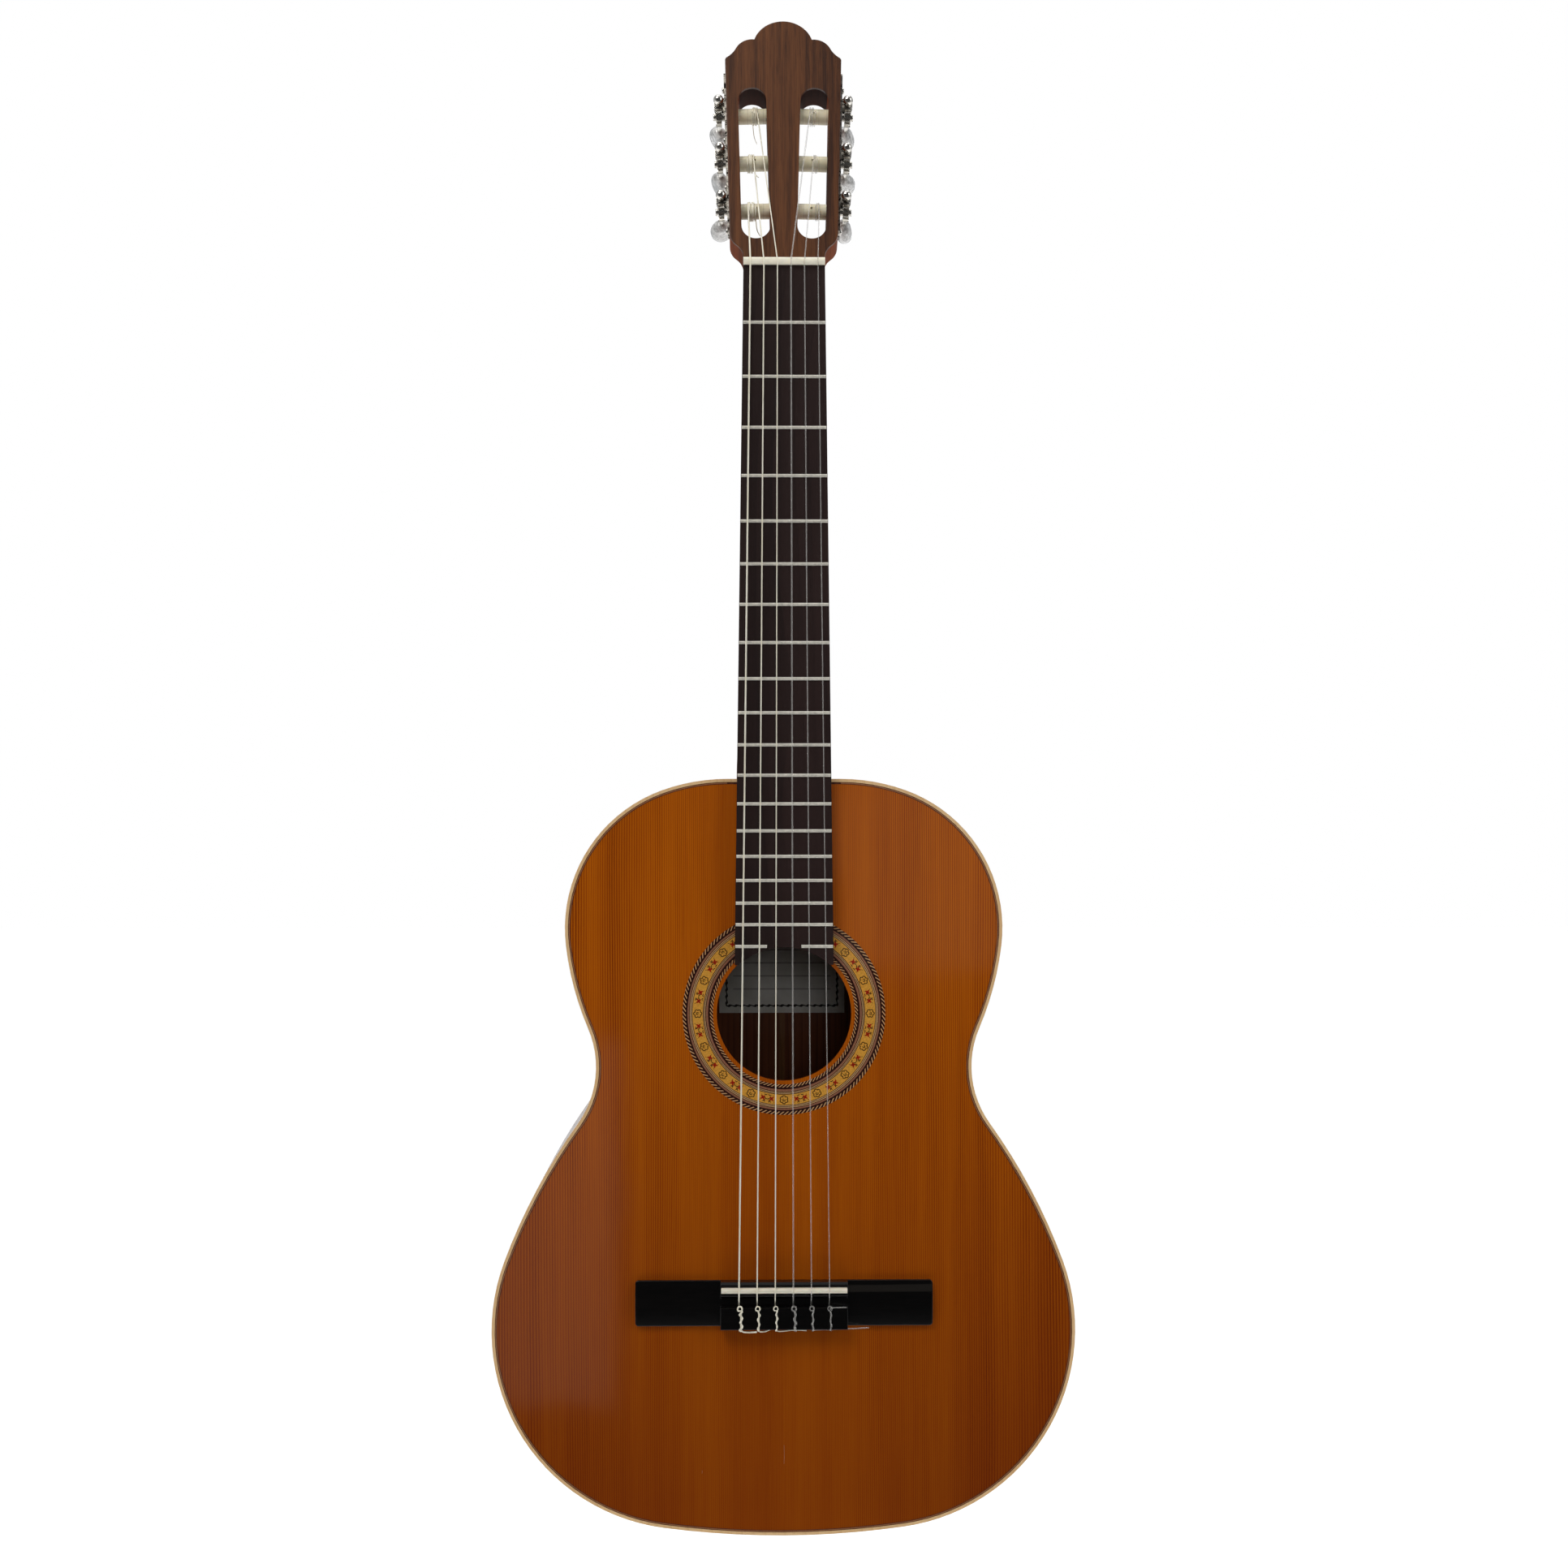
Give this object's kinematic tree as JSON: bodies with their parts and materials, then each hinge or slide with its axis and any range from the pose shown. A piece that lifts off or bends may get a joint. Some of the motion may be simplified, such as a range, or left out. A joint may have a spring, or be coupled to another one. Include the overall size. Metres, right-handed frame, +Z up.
{
  "type": "classical guitar",
  "caption": "Nylon-string classical guitar: hollow waisted body with round soundhole and rosette, fretted neck, slotted headstock with worm-geared tuning machines.",
  "frame": {"origin": "middle of the headstock's flare just above the nut, on the plane of the neck's front face, where a hanger's yoke carries the guitar", "axes": "+X towards the treble side, to the right of someone facing the soundboard; +Y from the soundboard towards the back; +Z up along the neck"},
  "size_m": [0.374, 0.1149, 0.9864],
  "materials": {
    "cedar": "gloss lacquer over straight-grained cedar",
    "rosette": "gloss lacquer over wood mosaic",
    "binding": "gloss lacquer",
    "purfling": "gloss lacquer",
    "rosewood": "gloss lacquer over rosewood",
    "inlay": "gloss lacquer",
    "spruce": "bare wood",
    "label": "aged paper",
    "mahogany": "satin lacquer",
    "veneer": "gloss lacquer",
    "fingerboard": "oiled",
    "fretwire": "polished nickel silver",
    "bone": "polished bone",
    "bridge": "gloss black stain",
    "nickel": "nickel plate",
    "roller": "ivory plastic",
    "pearl": "pearloid",
    "nylon": "clear nylon",
    "wound": "silver-plated winding over nylon"
  },
  "bodies": {
    "guitar": {"soundboard_bass": "cedar", "soundboard_treble": "cedar", "rosette": "rosette", "top_binding": "binding", "back_binding": "binding", "top_purfling": "purfling", "back_bass": "rosewood", "back_treble": "rosewood", "rib_bass": "rosewood", "rib_treble": "rosewood", "back_inlay": "inlay", "tail_graft": "inlay", "top_lining": "spruce", "back_lining": "spruce", "tail_block": "spruce", "top_braces": "spruce", "back_braces": "spruce", "soundhole_patch": "spruce", "label": "label", "neck": "mahogany", "heel_cap": "mahogany", "headstock_veneer": "veneer", "fingerboard": "fingerboard", "frets": "fretwire", "nut": "bone", "saddle": "bone", "bridge": "bridge", "tuner_plate_bass": "nickel", "tuner_plate_treble": "nickel", "plate_screws": "nickel", "string_1": "nylon", "string_2": "nylon", "string_3": "nylon", "string_4": "wound", "string_5": "wound", "string_6": "wound"},
    "roller_1": {"roller_1": "roller", "gear_1": "nickel"},
    "key_1": {"worm_1": "nickel", "button_1": "pearl"},
    "roller_2": {"roller_2": "roller", "gear_2": "nickel"},
    "key_2": {"worm_2": "nickel", "button_2": "pearl"},
    "roller_3": {"roller_3": "roller", "gear_3": "nickel"},
    "key_3": {"worm_3": "nickel", "button_3": "pearl"},
    "roller_4": {"roller_4": "roller", "gear_4": "nickel"},
    "key_4": {"worm_4": "nickel", "button_4": "pearl"},
    "roller_5": {"roller_5": "roller", "gear_5": "nickel"},
    "key_5": {"worm_5": "nickel", "button_5": "pearl"},
    "roller_6": {"roller_6": "roller", "gear_6": "nickel"},
    "key_6": {"worm_6": "nickel", "button_6": "pearl"}
  },
  "joints": [
    {"name": "key_1_turn", "type": "hinge", "parent": "guitar", "child": "key_1", "pos_m": [0.04067, 0.02098, 0.03653], "axis": [0, -0.9659, 0.2588], "continuous": true},
    {"name": "roller_1_turn", "type": "hinge", "parent": "guitar", "child": "roller_1", "pos_m": [0.04045, 0.01889, 0.02871], "axis": [0.9996, -0.0069, -0.0259], "continuous": true},
    {"name": "key_2_turn", "type": "hinge", "parent": "guitar", "child": "key_2", "pos_m": [0.0416, 0.03004, 0.07032], "axis": [0, -0.9659, 0.2588], "continuous": true},
    {"name": "roller_2_turn", "type": "hinge", "parent": "guitar", "child": "roller_2", "pos_m": [0.04139, 0.02794, 0.0625], "axis": [0.9996, -0.0069, -0.0259], "continuous": true},
    {"name": "key_3_turn", "type": "hinge", "parent": "guitar", "child": "key_3", "pos_m": [0.04254, 0.03909, 0.10412], "axis": [0, -0.9659, 0.2588], "continuous": true},
    {"name": "roller_3_turn", "type": "hinge", "parent": "guitar", "child": "roller_3", "pos_m": [0.04233, 0.037, 0.0963], "axis": [0.9996, -0.0069, -0.0259], "continuous": true},
    {"name": "key_4_turn", "type": "hinge", "parent": "guitar", "child": "key_4", "pos_m": [-0.04254, 0.03909, 0.10412], "axis": [0, -0.9659, 0.2588], "continuous": true},
    {"name": "roller_4_turn", "type": "hinge", "parent": "guitar", "child": "roller_4", "pos_m": [-0.04233, 0.037, 0.0963], "axis": [-0.9996, -0.0069, -0.0259], "continuous": true},
    {"name": "key_5_turn", "type": "hinge", "parent": "guitar", "child": "key_5", "pos_m": [-0.0416, 0.03004, 0.07032], "axis": [0, -0.9659, 0.2588], "continuous": true},
    {"name": "roller_5_turn", "type": "hinge", "parent": "guitar", "child": "roller_5", "pos_m": [-0.04139, 0.02794, 0.0625], "axis": [-0.9996, -0.0069, -0.0259], "continuous": true},
    {"name": "key_6_turn", "type": "hinge", "parent": "guitar", "child": "key_6", "pos_m": [-0.04067, 0.02098, 0.03653], "axis": [0, -0.9659, 0.2588], "continuous": true},
    {"name": "roller_6_turn", "type": "hinge", "parent": "guitar", "child": "roller_6", "pos_m": [-0.04045, 0.01889, 0.02871], "axis": [-0.9996, -0.0069, -0.0259], "continuous": true}
  ],
  "couplings": [
    {"joint": "roller_1_turn", "follows": "key_1_turn", "ratio": -0.071429},
    {"joint": "roller_2_turn", "follows": "key_2_turn", "ratio": -0.071429},
    {"joint": "roller_3_turn", "follows": "key_3_turn", "ratio": -0.071429},
    {"joint": "roller_4_turn", "follows": "key_4_turn", "ratio": -0.071429},
    {"joint": "roller_5_turn", "follows": "key_5_turn", "ratio": -0.071429},
    {"joint": "roller_6_turn", "follows": "key_6_turn", "ratio": -0.071429}
  ]
}
